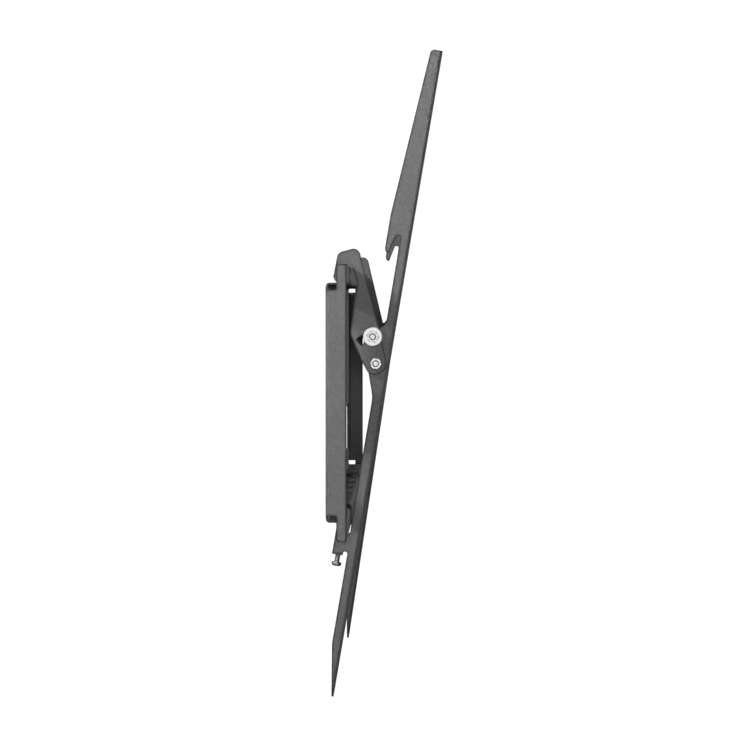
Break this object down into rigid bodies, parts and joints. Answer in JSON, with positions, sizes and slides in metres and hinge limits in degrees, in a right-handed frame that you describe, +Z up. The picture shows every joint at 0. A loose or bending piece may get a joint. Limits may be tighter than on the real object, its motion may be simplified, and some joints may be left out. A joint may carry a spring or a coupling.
{
  "type": "tilting tv wall mount",
  "caption": "Low-profile tilting wall mount for a large television: a lipped sheet-steel wall plate carries vertical rails on hooked links that swing out and tilt.",
  "frame": {"origin": "centre of the wall plate's wall face", "axes": "+X along the wall plate, to the right for a person facing the wall, +Y into the wall, +Z up; the television is on the -Y side"},
  "size_m": [0.84, 0.1052, 0.6123],
  "materials": {
    "plate_coat": "fine textured powder coat",
    "rail_coat": "fine textured powder coat",
    "link_coat": "fine textured powder coat",
    "zinc_steel": "bright zinc plated",
    "spacer_nylon": "moulded nylon",
    "nylon": "moulded nylon"
  },
  "bodies": {
    "plate": {"wall_plate": "plate_coat"},
    "left_glide": {"left_lip_glide": "nylon"},
    "left_link": {"left_link_plate": "link_coat"},
    "left_rail": {"left_tilt_rail": "rail_coat", "left_pivot_bolt": "zinc_steel", "left_pivot_spacer": "spacer_nylon", "left_pivot_nut": "zinc_steel", "left_tilt_lock_bolt": "zinc_steel", "left_tilt_lock_spacer": "spacer_nylon", "left_tilt_lock_washer": "zinc_steel", "left_tilt_lock_nut": "zinc_steel"},
    "left_safety_screw": {"left_safety_screw": "zinc_steel"},
    "right_glide": {"right_lip_glide": "nylon"},
    "right_link": {"right_link_plate": "link_coat"},
    "right_rail": {"right_tilt_rail": "rail_coat", "right_pivot_bolt": "zinc_steel", "right_pivot_spacer": "spacer_nylon", "right_pivot_nut": "zinc_steel", "right_tilt_lock_bolt": "zinc_steel", "right_tilt_lock_spacer": "spacer_nylon", "right_tilt_lock_washer": "zinc_steel", "right_tilt_lock_nut": "zinc_steel"},
    "right_safety_screw": {"right_safety_screw": "zinc_steel"}
  },
  "joints": [
    {"name": "left_bracket_slide", "type": "slide", "parent": "plate", "child": "left_glide", "axis": [-1, 0, 0], "range_m": [-0.19, 0.14]},
    {"name": "left_link_swing", "type": "hinge", "parent": "left_glide", "child": "left_link", "pos_m": [-0.2527, -0.0175, 0.1215], "axis": [-1, 0, 0], "range_deg": [-14.6, 0]},
    {"name": "left_rail_tilt", "type": "hinge", "parent": "left_link", "child": "left_rail", "pos_m": [-0.2527, -0.04228, 0.03113], "axis": [1, 0, 0], "range_deg": [-24.21, 0.01]},
    {"name": "left_safety_screw_travel", "type": "slide", "parent": "left_rail", "child": "left_safety_screw", "axis": [0, -0.1668, 0.986], "range_m": [0, 0.0074]},
    {"name": "right_bracket_slide", "type": "slide", "parent": "plate", "child": "right_glide", "axis": [1, 0, 0], "range_m": [-0.19, 0.14]},
    {"name": "right_link_swing", "type": "hinge", "parent": "right_glide", "child": "right_link", "pos_m": [0.2527, -0.0175, 0.1215], "axis": [-1, 0, 0], "range_deg": [-13.6, 0]},
    {"name": "right_rail_tilt", "type": "hinge", "parent": "right_link", "child": "right_rail", "pos_m": [0.2527, -0.0407, 0.03071], "axis": [1, 0, 0], "range_deg": [-22.15, 0.01]},
    {"name": "right_safety_screw_travel", "type": "slide", "parent": "right_rail", "child": "right_safety_screw", "axis": [0, -0.1485, 0.9889], "range_m": [0, 0.0074]}
  ],
  "couplings": [
    {"joint": "left_rail_tilt", "follows": "left_link_swing", "ratio": 1.6575},
    {"joint": "right_rail_tilt", "follows": "right_link_swing", "ratio": 1.6279}
  ]
}
